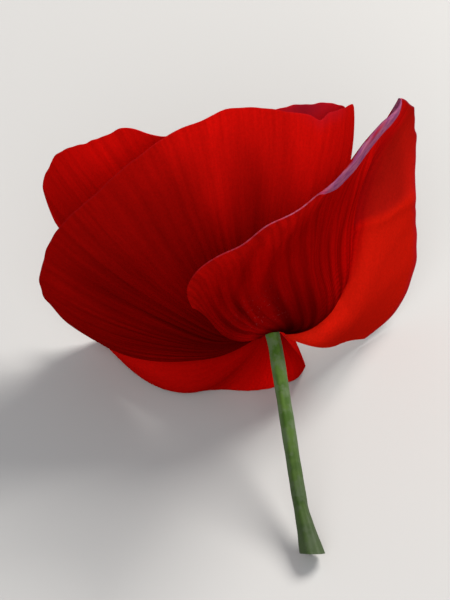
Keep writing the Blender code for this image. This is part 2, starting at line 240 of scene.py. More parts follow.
# Across runs from 0 at a petal's left margin to 1 at its right, and share from 0 at the base to 1 at
# the rim. Spreads are degrees round the axis at the two margins. Walls and flares are a vein's leans
# away from the axis, and lengths its mm, at places spaced evenly across. Rim and swell are (across,
# width, mm) and twist is (across, width, degrees). Pleats are (count, mm, phase, from share, to share).
# Patches, sheen tints and rib patches are painted light and shade, each (across, share, width across,
# width along, gain).
petals = {
    "petal_right": {
        "layer": 0,                        # 0 is outermost
        "spreadBase": (165, -19), "spreadRim": (124, -44),
        "wall": (82, 76, 46, 25, 41, 64),
        "flare": (104, 96, 63, 44, 45, 90),
        "length": (34, 42, 49, 50.5, 41, 30),
        "rounding": (0.32, 0.10),          # share cut off the length at the two margins
        "fold": (1.0, 0.48, 0.80),         # across at the base, at the rim, and at most
        "crease": (0.615, 0.15, 0.012, 0.30),      # across at the base, change to the rim, width, mm
        "sweep": 0.52,                     # how far the pleats fan out
        "pleatsFrom": 13.0,                # mm from the base where pleats are whole
        "swell": ((0.175, 0.028, -0.9),),
        "rim": ((0.175, 0.025, 0.7), (0.43, 0.04, 0.4), (0.52, 0.05, -1.3), (0.67, 0.02, 0.5),
                (0.77, 0.03, -1.3), (0.83, 0.02, 0.4), (0.88, 0.035, 1.3), (0.94, 0.05, 2.4)),
        "twist": ((0.0, 0.10, 6.0), (0.36, 0.06, 1.4), (0.47, 0.05, 5.2)),
        "wobble": 0.16,
        "roll": (0.22, 0.41, 2.6, 1.4, 150.0),     # from, to, mm wide, mm of curl, degrees
        "pleats": ((19, 0.08, 0.8, 0.0, 0.40), (37, 0.09, 0.3, 0.0, 0.60), (89, 0.045, 1.1, 0.1, 1.0)),
        "fade": 0.72,                      # how much the pleats lose towards the rim
        # the red's brightness, which also carries painted light and shade for this petal, with the patches
        # below
        "toneAndPaintedLight": 0.80,
        "patches": ((0.0, 0.9, 0.05, 0.25, -0.16), (0.03, 0.6, 0.20, 0.60, -0.34),
                    (0.10, 0.06, 0.28, 0.15, 1.0), (0.50, 0.05, 0.28, 0.10, -0.6),
                    (0.42, 0.18, 0.14, 0.10, -0.28), (0.50, 0.82, 0.12, 0.12, 0.28),
                    (0.86, 0.6, 0.12, 0.6, 0.10), (0.90, 0.1, 0.12, 0.12, 0.6)),
        "ribs": 0.80,                      # how dark the painted shade in the pleats' valleys is drawn
        "margin": 1.0,                     # how strongly the painted sheen along the rim is drawn
        "sheenAndShadeTint": ((0.9, 1.0, 0.2, 0.03, 0.4),),
        "seed": 3.1,
    },
    "petal_left": {
        "layer": 1,
        "spreadBase": (197, 76), "spreadRim": (209, 35),
        "wall": (73, 66, 59, 46, 45, 33),
        "flare": (30, 41, 42, 33, 21, 11),
        "length": (40, 44, 45, 47, 45, 49),
        "rounding": (0.12, 0.0),
        "rim": ((0.08, 0.09, 1.8), (0.05, 0.05, 1.2), (0.31, 0.04, 0.4), (0.59, 0.03, -0.6),
                (0.66, 0.07, 0.6), (0.815, 0.02, -1.3), (0.95, 0.03, 0.5)),
        "twist": ((0.06, 0.12, 3.5),),
        "pleats": ((23, 0.06, 2.4, 0.2, 0.75), (37, 0.075, 0.0, 0.0, 0.85), (79, 0.035, 0.6, 0.2, 1.0)),
        "fade": 0.75,
        "toneAndPaintedLight": 0.44,
        "patches": ((0.80, 0.85, 0.26, 0.5, 0.26), (0.58, 0.97, 0.10, 0.12, 0.22),
                    (0.28, 0.33, 0.15, 0.2, -0.12), (0.30, 0.75, 0.1, 0.25, -0.12),
                    (0.04, 0.85, 0.08, 0.25, -0.08), (0.48, 0.7, 0.08, 0.2, -0.12),
                    (0.60, 0.72, 0.035, 0.25, 0.16), (0.68, 0.72, 0.04, 0.15, -0.14)),
        "ribs": 0.35,
        "ribPatches": ((0.16, 0.5, 0.18, 0.35, 0.8), (0.5, 0.1, 0.5, 0.25, 0.3)),
        "margin": 0.06,
        "sheenAndShadeTint": ((0.85, 1.0, 0.06, 0.04, 0.3),),
        "seed": 7.7,
    },
    "petal_back": {
        "layer": 2,
        "spreadBase": (166, 71), "spreadRim": (189, 48),
        "wall": (52, 41, 39, 42, 27, 18),
        "flare": (24, 28, 34, 39, 41, 46),
        "length": (56, 54, 49, 44, 45, 47),
        "rounding": (0.12, 0.03),
        "rim": ((0.03, 0.06, 2.0), (0.17, 0.03, 0.4), (0.285, 0.03, -0.6), (0.41, 0.036, 1.0),
                (0.48, 0.035, -0.9), (0.88, 0.06, -0.4)),
        "pleats": ((25, 0.045, 2.0, 0.0, 1.0), (53, 0.025, 0.2, 0.2, 1.0)),
        "fade": 0.8,
        "toneAndPaintedLight": 0.62,
        "patches": ((0.33, 0.97, 0.15, 0.12, 0.16), (0.03, 0.8, 0.14, 0.2, -0.18),
                    (0.85, 1.0, 0.12, 0.1, 0.80)),
        "ribs": 0.3,
        "margin": 0.06,
        "sheenAndShadeTint": ((0.85, 1.0, 0.12, 0.1, 0.9),),
        "seed": 12.4,
    },
    "petal_under": {
        "layer": 2,
        "spreadBase": (217, 308), "spreadRim": (193, 288),
        "wall": (53, 93, 106, 109, 106, 92),
        "flare": (28, 30, 23, 4, -10, -21),
        "length": (45, 46, 46, 45, 43, 40),
        "rounding": (0.15, 0.12),
        "wallLength": 10.0,                # mm along a vein where the wall's lean is reached
        "bendLength": 37.5,                # and where it has bent over to the flare's
        "swell": ((0.25, 0.10, 1.0), (0.44, 0.15, -1.5), (0.92, 0.08, 0.8)),
        "pleats": ((15, 0.045, 1.2, 0.0, 1.0), (37, 0.025, 0.5, 0.2, 1.0)),
        "fade": 0.8,
        "toneAndPaintedLight": 0.64,
        "patches": ((0.75, 0.25, 0.15, 0.2, 0.25), (0.7, 0.3, 0.2, 0.3, 0.2),
                    (0.35, 0.6, 0.18, 0.25, -0.22)),
        "ribs": 0.12,
        "margin": 0.06,
        "seed": 16.9,
    },
}

# What all four petals share. Pairs are where something starts and over how far it grows.
sheet = {
    "columns": 380, "rows": 78,
    "rimRows": 14, "rimShare": 0.045,              # closer rows along the rim
    "steps": 4,                                    # of a vein's curve between two rows
    "wallLength": 15.0, "flareLength": 46.0,
    "gather": 1.6, "twistPower": 1.5,              # how late a petal spreads and twists
    "swellShare": 0.4,
    "roundedShare": 0.12,
    "wobble": 0.07, "wobbles": ((11.3, 1.0), (23.7, 0.6)),
    "calm": (0.56, 0.05),                          # across and width of a length without wobble
    "waveCount": 22, "waveHeight": 0.03, "waveRise": 20.0,
    "ruffles": ((17, 0.16, 0.4), (29, 0.10, 2.1)),
    "ruffleFrom": (26.0, 16.0),
    "floorBlend": 2.0,
}

roll = {
    "slim": (1.1, 2.5, 0.3),                       # width at the left, loss across, from where
    "begin": 0.06, "end": 0.05,
    "length": 0.75,                                # share of the rolled width added to a vein
}

fold = {
    "depth": 3.2, "width": 0.07,
    "rise": 0.32, "fade": (0.65, 0.35),
    "crease": (0.45, 0.15),
    "flapGap": 0.005, "flapEdge": 0.012,
    "flapSpread": 0.05, "flapSpreadFrom": (0.3, 0.3),
    "flapStill": 0.7,                              # share of the ruffles that the flap loses
    "sweepBase": 0.07,
    "pleatLoss": 0.95, "pleatEnd": 0.05,
}

pleat = {
    "drift": (0.004, 6.0, 25.0),                   # size, and how fast it changes along and across
    "warps": (2.3, 5.1, 8.7), "warpSize": 0.2,     # ridges are unevenly spaced
    "begin": 0.15, "end": 0.2,
    "strength": (0.65, 0.35), "strengthRates": (19.0, 2.5),
    "sharpness": 1.7, "level": 0.8,                # narrow valleys, broad ridges
    "fromBase": 20.0, "fade": (0.3, 0.5),
}


def rowShares():
    main = np.linspace(0.0, 1.0 - sheet["rimShare"], sheet["rows"] + 1)
    rim = np.linspace(1.0 - sheet["rimShare"], 1.0, sheet["rimRows"] + 1)
    return np.concatenate([main, rim[1:]])


def rollWindow(petal, across):
    widest, loss, start = roll["slim"]
    left, right = petal["roll"][:2]
    slim = widest - loss * np.maximum(0.0, across - start)
    return slim * rise(across, left, roll["begin"]) * (1.0 - rise(across, right, roll["end"]))


def veinLength(petal, across):
    left = np.maximum(0.0, 1.0 - across / sheet["roundedShare"])
    right = np.maximum(0.0, 1.0 - (1.0 - across) / sheet["roundedShare"])
    cutLeft, cutRight = petal["rounding"]
    length = blend(petal["length"], across) * (1.0 - cutLeft * left ** 2) * (1.0 - cutRight * right ** 2)
    for centre, width, height in petal.get("rim", ()):
        length = length + height * bump(across, centre, width)
    if "roll" in petal:
        length = length + roll["length"] * petal["roll"][2] * rollWindow(petal, across)
    wobble = petal.get("wobble", sheet["wobble"]) * (1.0 - bump(across, *sheet["calm"]))
    for rate, size in sheet["wobbles"]:
        length = length + wobble * size * np.sin(2 * math.pi * rate * across + petal["seed"])
    return length


def veinLean(petal, across, along, toRim):
    wall, flare = blend(petal["wall"], across), blend(petal["flare"], across)
    wallLength = petal.get("wallLength", sheet["wallLength"])
    out = (along - wallLength) / (petal.get("bendLength", sheet["flareLength"]) - wallLength)
    out = ease(out) if "bendLength" in petal else np.maximum(0.0, out)
    base = flower["baseLean"]
    lean = base + (wall - base) * ease(along / wallLength) + (flare - wall) * out
    if "roll" in petal:
        width, curl, angle = petal["roll"][2:]
        window = rollWindow(petal, across)
        lean = lean + angle * ease(2 * window) * ease((width * window - toRim) / curl)
    return np.radians(lean)


def veinTurn(petal, across, share):
    gather = (1.0 - share) ** sheet["gather"]
    spreads = zip(petal["spreadRim"], petal["spreadBase"])
    left, right = (rim + (base - rim) * gather for rim, base in spreads)
    turn = left + (right - left) * across
    for centre, width, degrees in petal.get("twist", ()):
        turn = turn + degrees * bump(across, centre, width) * share ** sheet["twistPower"]
    return np.radians(turn)


def foldLine(petal, share):
    start, end, most = petal["fold"]
    return np.minimum(start + (end - start) * share, most)


def creaseLine(petal, share):
    start, slope = petal["crease"][:2]
    return start + slope * share


def flapShare(petal, across, share):      # 0 before the fold, 1 on the flap beyond it
    edge = fold["flapEdge"] + fold["flapSpread"] * rise(share, *fold["flapSpreadFrom"])
    return ease((across - foldLine(petal, share) - fold["flapGap"]) / edge)


def sweptAcross(petal, across, share):
    return across * np.hypot(share, fold["sweepBase"]) ** petal.get("sweep", 0.0)


def unevenly(across, share, seed):
    size, alongRate, acrossRate = pleat["drift"]
    warped = across + size * np.sin(alongRate * share + acrossRate * across + seed)
    for rate in pleat["warps"]:
        warped = warped + pleat["warpSize"] / (2 * math.pi * rate) * np.sin(
            2 * math.pi * rate * across + seed * rate)
    return warped


def grooves(petal, across, share):
    depth, reach = np.zeros_like(across + share), np.full_like(across + share, 0.0001)
    across = sweptAcross(petal, across, share)
    place = 2 * math.pi * unevenly(across, share, petal["seed"])
    even, uneven = pleat["strength"]
    acrossRate, alongRate = pleat["strengthRates"]
    for count, size, phase, start, end in petal["pleats"]:
        window = size * ease(1.0 + (share - start) / pleat["begin"])
        window = window * (1.0 - rise(share, end, pleat["end"]))
        shift = petal["seed"] * (1 + phase)
        strength = even + uneven * np.sin(acrossRate * across + shift + alongRate * share)
        wave = (0.5 + 0.5 * np.sin(count * place + phase)) ** pleat["sharpness"]
        depth = depth + window * strength * (2 * wave - pleat["level"])
        reach = reach + window
    return depth, reach


def pleatHeight(petal, across, share, along):
    height = grooves(petal, across, share)[0]
    if "fold" in petal:
        beforeFold = across - foldLine(petal, share)
        height = height * (1.0 - fold["pleatLoss"] * rise(beforeFold, -fold["pleatEnd"], fold["pleatEnd"]))
    grown = np.minimum(1.0, along / petal.get("pleatsFrom", pleat["fromBase"])) ** 2
    return height * grown * (1.0 - petal["fade"] * rise(share, *pleat["fade"]))


def sheetOffset(petal, across, share, turn, along):
    offset = petal["layer"] * flower["layerPitch"] + np.zeros_like(turn)
    still = 1.0
    if "fold" in petal:
        strength = ease(share / fold["rise"]) * (1.0 - rise(share, *fold["fade"]))
        offset = offset + fold["depth"] * strength * bump(across, foldLine(petal, share), fold["width"])
        width, height = petal["crease"][2:]
        crease = height * bump(across, creaseLine(petal, share), width)
        offset = offset - crease * rise(share, *fold["crease"])
        still = 1.0 - fold["flapStill"] * flapShare(petal, across, share)
    wave = np.sin(sheet["waveCount"] * turn)
    offset = offset + sheet["waveHeight"] * ease(along / sheet["waveRise"]) * wave
    edge = rise(along, *sheet["ruffleFrom"])
    for count, height, phase in sheet["ruffles"]:
        offset = offset + still * edge * height * np.sin(count * turn + phase)
    return offset + pleatHeight(petal, across, share, along)


def petalPoints(petal, across, shares):      # each vein is followed from the base to the rim
    length = veinLength(petal, across)
    seat = petal["layer"] * flower["layerPitch"] * math.cos(math.radians(flower["baseLean"]))
    radius = flower["baseRadius"] + seat + np.zeros_like(across)
    height, done = np.zeros_like(across), np.zeros_like(across)
    points = np.empty((len(across), len(shares), 3))
    along = np.empty((len(across), len(shares)))
    for row, share in enumerate(shares):
        step = (share * length - done) / sheet["steps"]
        for _ in range(sheet["steps"]):
            lean = veinLean(petal, across, done + step / 2, length - done - step / 2)
            radius = radius + np.sin(lean) * step
            height = height + np.cos(lean) * step
            done = done + step
        lean = veinLean(petal, across, done, length - done)
        turn = veinTurn(petal, across, share)
        inset = sheetOffset(petal, across, share, turn, done)
        for centre, width, push in petal.get("swell", ()):
            inset = inset - push * bump(across, centre, width) * ease(share / sheet["swellShare"])
        r = (radius - inset * np.cos(lean)) * mm
        h = (height + inset * np.sin(lean)) * mm
        out = np.outer(np.cos(turn), acrossway) + np.outer(np.sin(turn), upward)
        points[:, row] = np.array(receptacle) + out * r[:, None] + np.outer(h, axis)
        along[:, row] = done
    return points, length[:, None] - along


def layOnFloor(points):      # what would be below the surface lies flat on it
    level = cadLow.z + flower["thickness"] * mm / 2
    soft = sheet["floorBlend"] * mm
    depth = points[..., 2] - level
    lifted = level + np.maximum(0.0, depth + soft) ** 2 / (4 * soft)
    points[..., 2] = np.where(depth < soft, lifted, points[..., 2])


def patchwork(patches, across, share):
    total = np.zeros_like(across)
    for acrossCentre, shareCentre, acrossWidth, shareWidth, gain in patches:
        total += gain * bump(across, acrossCentre, acrossWidth) * bump(share, shareCentre, shareWidth)
    return total


paint = {
    "darkest": 0.05,
    "marginFrom": (0.03, 0.22),
    "crease": (0.05, 0.008), "creaseFrom": (0.5, 0.1),             # a painted highlight along the crease, its gain and width
    "above": (0.20, 0.06), "aboveEdge": 0.015,                     # painted shade, darker and bluer above the crease
    "aboveFold": (-0.10, 0.06), "aboveEnd": (0.85, 0.1),
    "foot": 0.55, "footFold": (-0.18, 0.16), "footEnd": (0.12, 0.3),       # shade at the fold's foot
    "slot": (0.35, 0.022), "slotToRim": (1.55, 0.28),              # a break in the rolled margin's painted sheen, drawn darker as painted shade
    "slotGap": 0.95, "slotShade": 0.5,
    # how strongly painted sheen covers the rolled margin and its tip
    "roll": 1.1,
    "tip": 0.43, "tipRoll": 0.9, "tipWidth": 0.04, "tipCore": 0.03,
}


def petalPaint(petal, across, share, toRim):
    depth, reach = grooves(petal, across, share)
    # painted light and shade: each petal's tone with its patches of light and shade
    toneAndPaintedLight = np.maximum(petal["toneAndPaintedLight"] + patchwork(petal["patches"], across, share), paint["darkest"])
    ribs = petal["ribs"] + patchwork(petal.get("ribPatches", ()), across, share)
    # painted sheen: a crimson tint near some rims, also carrying the tint of painted shade above the
    # crease and in the slot
    sheenAndShadeTint = patchwork(petal.get("sheenAndShadeTint", ()), across, share)
    margin = petal["margin"] * rise(across, *paint["marginFrom"])
    flap, fromFold, rolled = np.zeros_like(across), np.ones_like(across), np.zeros_like(across)
    if "fold" in petal:
        flap = flapShare(petal, across, share)
        fromFold = across - foldLine(petal, share)
        fromCrease = across - creaseLine(petal, share)
        # a painted highlight along the crease, and painted shade above it
        begun = rise(share, *paint["creaseFrom"])
        gain, width = paint["crease"]
        toneAndPaintedLight += gain * bump(fromCrease, 0.0, width) * begun
        above = ease(-fromCrease / paint["aboveEdge"]) * rise(fromFold, *paint["aboveFold"]) * begun
        darker, bluer = paint["above"]
        toneAndPaintedLight -= darker * above * (1.0 - rise(share, *paint["aboveEnd"]))
        sheenAndShadeTint += bluer * above
        foot = (1.0 - flap) * rise(fromFold, *paint["footFold"]) * (1.0 - rise(share, *paint["footEnd"]))
        toneAndPaintedLight -= paint["foot"] * foot
        # the rolled margin and its tip carry painted sheen; a slot breaks it, drawn darker and crimson as
        # painted shade
        slot = bump(across, *paint["slot"]) * bump(toRim, *paint["slotToRim"])
        rolled = np.minimum(1.0, rollWindow(petal, across) * paint["roll"])
        rolled = np.maximum(rolled, paint["tipRoll"] * bump(across, paint["tip"], paint["tipWidth"]))
        rolled *= 1.0 - paint["slotGap"] * slot
        rolled += paint["tipRoll"] * bump(across, paint["tip"], paint["tipCore"])
        sheenAndShadeTint += slot
        toneAndPaintedLight *= 1.0 - paint["slotShade"] * slot
    return {
        "vein": (sweptAcross(petal, across, share), share, np.full_like(across, petal["seed"])),
        "form": (0.5 + 0.5 * depth / reach, toRim, flap),
        "paint": (toneAndPaintedLight, margin, ribs),
        "crease": (fromFold, sheenAndShadeTint, rolled),
    }


def makePetal(name, petal, materials):
    shares = rowShares()
    deselect()
    bpy.ops.mesh.primitive_grid_add(
        x_subdivisions=sheet["columns"], y_subdivisions=len(shares) - 1, size=2.0, location=(0, 0, 0))
    obj = bpy.context.object
    obj.name = obj.data.name = name + "_fine"
    flat = coords(obj)
    order = np.lexsort((flat[:, 1], flat[:, 0])).reshape(-1, len(shares))
    across = (flat[order[:, 0], 0] + 1.0) / 2.0
    points, toRim = petalPoints(petal, across, shares)
    layOnFloor(points)
    flat[order.ravel()] = points.reshape(-1, 3)
    setCoords(obj, flat)

    wide, far = np.meshgrid(across, shares, indexing='ij')
    for attributeName, columns in petalPaint(petal, wide, far, toRim).items():
        values = np.empty((len(flat), 3))
        values[order.ravel()] = np.stack(columns, -1).reshape(-1, 3)
        pointVector(obj, attributeName, values)

    for material in materials:
        obj.data.materials.append(material)
    obj.modifiers.new("Triangles", 'TRIANGULATE')
    thick = obj.modifiers.new("Thickness", 'SOLIDIFY')
    thick.thickness = flower["thickness"] * mm
    thick.offset = 0.0
    thick.material_offset = 1
    thick.material_offset_rim = 2
    applyAll(obj)
    bpy.ops.object.shade_smooth_by_angle(angle=math.radians(50))
    finishPiece(obj, "petal", name)


petalLooks = {
    # the reds darken towards the base, partly the petals' own colour and partly painted shade; deep is
    # also the painted shadow under the rolled margin
    "deep": (0.110, 0.0006, 0.0008),
    "reds": ((0.0, 0.12, (0.300, 0.0010, 0.0010)),     # from, to, and the colour reached there
             (0.1, 0.55, (0.540, 0.0020, 0.0012)),
             (0.5, 1.0, (0.780, 0.0060, 0.0034))),
    # painted light: the flap beyond the fold is drawn as a brighter, more orange red
    "flap": (0.620, 0.0100, 0.0032),
    # painted sheen colours of the rolled margin and the rims
    "lilac": (0.230, 0.062, 0.175),
    "pale": (0.400, 0.125, 0.215),
    # the tint of painted sheen and painted shade
    "crimson": (0.360, 0.012, 0.030),
    "dots": (0.560, 0.110, 0.120),
    "blotch": (0.010, 0.0015, 0.0030),
    "roughness": 0.55, "gloss": 0.0,
    "glow": 0.42,                                      # share of the light that comes through
    "relief": (0.3, 0.12),
    "grain": (2200.0, 2.0, 0.6),                       # scale, detail, roughness
    "broad": (9.0, 2.2, 2.0, 0.5),                     # scale across and along, detail, roughness
    "streaks": (60.0, 2.0, 3.0, 0.6),
    "fine": (240.0, 9.0, 2.0, 0.6),
    "rollEdge": (70.0, 30.0, 2.0, 0.5),
    "rollSheen": (55.0, 160.0, 3.0, 0.7),
    "rimSheen": (170.0, 30.0, 2.0, 0.5),
    "flecks": (320.0, 70.0, 1.0, 0.5),
    "unevenness": 0.3,
    "ribShare": 0.4,                                   # painted light: how much lighter the red of a less ribbed petal is drawn, lifting its base out of shade
    "pleatShade": (0.1, 0.8, 0.7, 0.25),               # painted shade in the pleats' valleys, stronger towards the base
    "flapPleats": 0.1, "flapStreaks": 0.15,
    "streakShade": (0.08, -0.16), "fineShade": (0.04, -0.08), "grainShade": (0.94, 1.06),
    "ridgeLight": 1.08,
    "blotchShare": (0.17, 0.30),
    "rolled": (1.9, 2.4, 0.95),                        # painted sheen on the rolled margin: mm to the rim, from and to, and strength
    # painted shadow under the rolled margin: mm to the rim, from and to, and strength
    "underRoll": (2.2, 3.3, 0.7),
    # painted sheen along the rim, inside and outside: mm to the rim, from and to, and strength
    "thinMargin": (0.3, 0.9, 0.6),
    "outerMargin": (0.0, 0.35, 0.35),
    "besideFold": 0.065, "dotGain": 0.4,
}


def petalMaterial(name, side):
    looks = petalLooks
    nodes = Nodes(name)
    vein = nodes.attribute("vein")
    across, share = nodes.parts(vein)[:2]
    groove, toRim, flap = nodes.parts(nodes.attribute("form"))
    toneAndPaintedLight, margin, ribs = nodes.parts(nodes.attribute("paint"))
    fromFold, sheenAndShadeTint, curled = nodes.parts(nodes.attribute("crease"))
    grain = nodes.noise(nodes.objectCoords(), *looks["grain"])
    broad, streaks, fine = (nodes.stretched(vein, *looks[key]) for key in ("broad", "streaks", "fine"))
    shift = nodes.times(nodes.math('SUBTRACT', broad, 0.5), looks["unevenness"])
    # place on the red ramp, lifted by painted light on the less ribbed petals
    where = nodes.plus(nodes.plus(share, shift), nodes.fall(ribs, 0.0, 0.7, looks["ribShare"]))
    colour = looks["deep"]
    for low, high, red in looks["reds"]:
        colour = nodes.mix(nodes.span(where, low, high), colour, red)
    # painted light on the flap
    colour = nodes.mix(flap, colour, looks["flap"])
    # painted shade in the pleats' valleys, weaker on the flap
    depth = nodes.times(ribs, nodes.span(broad, 0.3, 0.7, 0.5, 1.2))
    depth = nodes.times(nodes.span(share, *looks["pleatShade"]), depth)
    depth = nodes.times(depth, nodes.span(flap, 0.0, 1.0, 1.0, looks["flapPleats"]))
    shade = nodes.math('SUBTRACT', looks["ridgeLight"], nodes.times(depth, nodes.span(groove, 0.25, 0.75)))
    strong = nodes.span(flap, 0.0, 1.0, 1.0, looks["flapStreaks"])
    strong = nodes.times(nodes.span(ribs, 0.0, 0.8, 0.35, 1.0), strong)
    for pattern, key in ((streaks, "streakShade"), (fine, "fineShade")):
        change = nodes.times(nodes.span(pattern, 0.3, 0.78, *looks[key]), strong)
        shade = nodes.times(shade, nodes.plus(change, 1.0))
    shade = nodes.times(shade, nodes.span(grain, 0.3, 0.7, *looks["grainShade"]))
    # painted shade in the pleats and the tone's painted light and shade scale the red
    colour = nodes.shaded(colour, nodes.times(shade, toneAndPaintedLight))
    # crimson tint of painted sheen and painted shade
    colour = nodes.mix(sheenAndShadeTint, colour, looks["crimson"])

    if side == "inside":
        blotch = nodes.fall(nodes.plus(where, nodes.times(streaks, 0.1)), *looks["blotchShare"])
        colour = nodes.mix(blotch, colour, looks["blotch"])
        # painted shadow under the rolled margin, then painted sheen on the roll and along the thin rim
        reach = nodes.math('DIVIDE', toRim, nodes.math('MAXIMUM', curled, 1.0))
        uneven = nodes.stretched(vein, *looks["rollEdge"])
        reach = nodes.plus(reach, nodes.span(uneven, 0.3, 0.7, -0.2, 0.2))
        curled = nodes.math('MINIMUM', curled, 1.0)
        shadow = nodes.times(nodes.fall(reach, *looks["underRoll"]), curled)
        colour = nodes.mix(shadow, colour, looks["deep"])
        rolled = nodes.times(nodes.fall(reach, *looks["rolled"]), curled)
        thin = nodes.times(nodes.fall(toRim, *looks["thinMargin"]), margin)
        sheen = nodes.span(nodes.stretched(vein, *looks["rollSheen"]), 0.38, 0.62)
        sheen = nodes.mix(sheen, looks["lilac"], looks["pale"])
        colour = nodes.mix(nodes.math('MAXIMUM', rolled, thin), colour, sheen)
    elif side == "rim":
        # painted sheen along the cut edge
        sheen = nodes.span(nodes.stretched(vein, *looks["rimSheen"]), 0.35, 0.65, 0.3, 0.9)
        colour = nodes.mix(nodes.times(margin, sheen), colour, looks["pale"])
    else:
        # painted sheen along the rim
        edge = nodes.times(nodes.fall(toRim, *looks["outerMargin"]), margin)
        colour = nodes.mix(edge, colour, looks["pale"])
        fleck = nodes.span(nodes.stretched(vein, *looks["flecks"]), 0.64, 0.78)
        beside = nodes.math('ABSOLUTE', nodes.plus(fromFold, looks["besideFold"]))
        nearFold = nodes.times(nodes.fall(beside, 0.01, 0.03), nodes.span(share, 0.3, 0.45))
        nearBase = nodes.times(nodes.span(share, 0.1, 0.2), nodes.fall(share, 0.3, 0.5))
        nearBase = nodes.times(nearBase, nodes.fall(across, 0.12, 0.2))
        dots = nodes.times(fleck, nodes.math('MAXIMUM', nearFold, nearBase))
        colour = nodes.mix(nodes.times(dots, nodes.times(margin, looks["dotGain"])), colour, looks["dots"])

    height = nodes.plus(nodes.times(streaks, 0.6), nodes.times(fine, 0.4))
    normal = nodes.relief(height, *looks["relief"])
    skin = nodes.skin(colour, normal, looks["roughness"], looks["gloss"])
    through = nodes.add('ShaderNodeBsdfTranslucent', {"Color": colour, "Normal": normal}).outputs[0]
    both = nodes.add('ShaderNodeMixShader', {0: looks["glow"], 1: skin, 2: through})
    return nodes.finish(both.outputs[0])


petalMaterials = [petalMaterial("petal_" + side, side) for side in ("outside", "inside", "rim")]
for petalName, petal in petals.items():
    makePetal(petalName, petal, petalMaterials)
print("petals made")


stem = {
    "radius": 1.27, "cut": 2.15, "flare": 9.0,     # mm; the stem widens over the flare to its cut end
    "endReach": 37.3, "endSide": 6.0, "endHeight": 2.0, "sag": 1.2, "bow": -0.8,
    "foot": 2.4, "top": 2.6, "seatRadius": 1.35,
    "seatFrom": 0.93, "seatWiden": (0.42, 0.2),    # share of the rings below the receptacle
    "sides": 48, "rings": 90,
    "ridges": 7, "ridgeHeight": 0.035, "ridgeSway": (0.4, 0.3),
    "swells": ((0.02, 0.55, 0.0, 1.3), (0.012, 1.27, 2.0, 0.0)),   # size, rate along and round, phase
    "flarePower": 1.25, "flareSide": 0.7,
    "slant": 4.0, "cutNormal": (0, 1, 1),          # the end is cut on a slant
    "shade": (0.040, 0.094, 0.006),
    "green": (0.064, 0.128, 0.014),
    "grey": (0.088, 0.136, 0.052),
    "mottle": (480.0, 3.0, 0.6), "patches": (260.0, 2.0, 0.5), "grain": (1400.0, 2.0, 0.6),
    "dryEnd": (0.2, 9.0, 0.55),
    "darkEnd": (2.0, 42.0, 0.42),
    "roughness": 0.6, "gloss": 0.2, "relief": (0.4, 0.1),
}


def stemCentre(share):      # 0 at the cut end, 1 under the receptacle
    top = receptacle - axis * stem["foot"] * mm
    end = receptacle + Vector((stem["endSide"], -stem["endReach"], 0)) * mm
    end.z = cadLow.z + stem["endHeight"] * mm
    handle = (top - end).length / 3
    beforeTop = top - axis * handle + acrossway * stem["bow"] * mm
    afterEnd = end + (beforeTop - end).normalized() * handle - Vector((0, 0, stem["sag"])) * mm
    s, r = share, 1.0 - share
    return r ** 3 * end + 3 * r * r * s * afterEnd + 3 * r * s * s * beforeTop + s ** 3 * top


def ringedTube(name, sides, rings):
    deselect()
    bpy.ops.mesh.primitive_cylinder_add(vertices=sides, radius=1.0, depth=2.0, location=(0, 0, 0))
    obj = bpy.context.object
    obj.name = obj.data.name = name
    bpy.ops.object.mode_set(mode='EDIT')
    bm = bmesh.from_edit_mesh(obj.data)
    for part in (*bm.verts, *bm.edges, *bm.faces):
        part.select = False
    for edge in bm.edges:
        if abs(edge.verts[0].co.z - edge.verts[1].co.z) > 1.0:
            edge.select = True
    bmesh.update_edit_mesh(obj.data)
    bpy.ops.mesh.subdivide(number_cuts=rings - 2)
    bpy.ops.object.mode_set(mode='OBJECT')
    return obj


def makeStem():
    obj = ringedTube("stem_fine", stem["sides"], stem["rings"])
    flat = coords(obj)
    total = (stemCentre(1.0) - stemCentre(0.0)).length / mm
    points = np.empty_like(flat)
    values = np.empty_like(flat)
    sway, swayRate = stem["ridgeSway"]
    cutNormal = Vector(stem["cutNormal"])
    for i, (x, y, z) in enumerate(flat.tolist()):
        place = (z + 1.0) / 2.0
        share = min(place / stem["seatFrom"], 1.0)
        distance = share * total
        centre = stemCentre(share)
        later = min(share + 0.01, 1.0)
        ahead = (stemCentre(later) - stemCentre(later - 0.02)).normalized()
        side = ahead.cross(Vector((0, 0, 1))).normalized()
        over = side.cross(ahead)
        flare = max(0.0, 1.0 - distance / stem["flare"]) ** stem["flarePower"]
        flare *= stem["cut"] - stem["radius"]
        radius = stem["radius"] + flare
        if place > stem["seatFrom"]:
            beyond = (place - stem["seatFrom"]) / (1.0 - stem["seatFrom"])
            centre = centre + axis * beyond * (stem["foot"] + stem["top"]) * mm
            radius += (stem["seatRadius"] - stem["radius"]) * float(rise(beyond, *stem["seatWiden"]))
        angle = math.atan2(y, x)
        swayed = stem["ridges"] * angle + sway * math.sin(distance * swayRate)
        uneven = 1.0
        for size, rate, turns, phase in stem["swells"]:
            uneven += size * math.sin(distance * rate + turns * angle + phase)
        radius *= (1.0 + stem["ridgeHeight"] * math.sin(swayed)) * uneven
        outward = side * math.cos(angle) + over * math.sin(angle)
        point = centre + outward * radius * math.hypot(x, y) * mm
        point += side * flare * stem["flareSide"] * mm
        slant = float(1.0 - ease(distance / stem["slant"]))
        point -= ahead * slant * (point - centre).dot(cutNormal) / ahead.dot(cutNormal)
        points[i] = point
        values[i] = (angle / (2 * math.pi), distance, 0.0)
    points[:, 2] = np.maximum(points[:, 2], cadLow.z + 0.02 * mm)      # a hair above the surface
    setCoords(obj, points)
    pointVector(obj, "skin", values)
    faceOutwards(obj)
    bpy.ops.object.shade_smooth_by_angle(angle=math.radians(40))
    obj.data.materials.append(stemMaterial())
    finishPiece(obj, "stem", "stem")


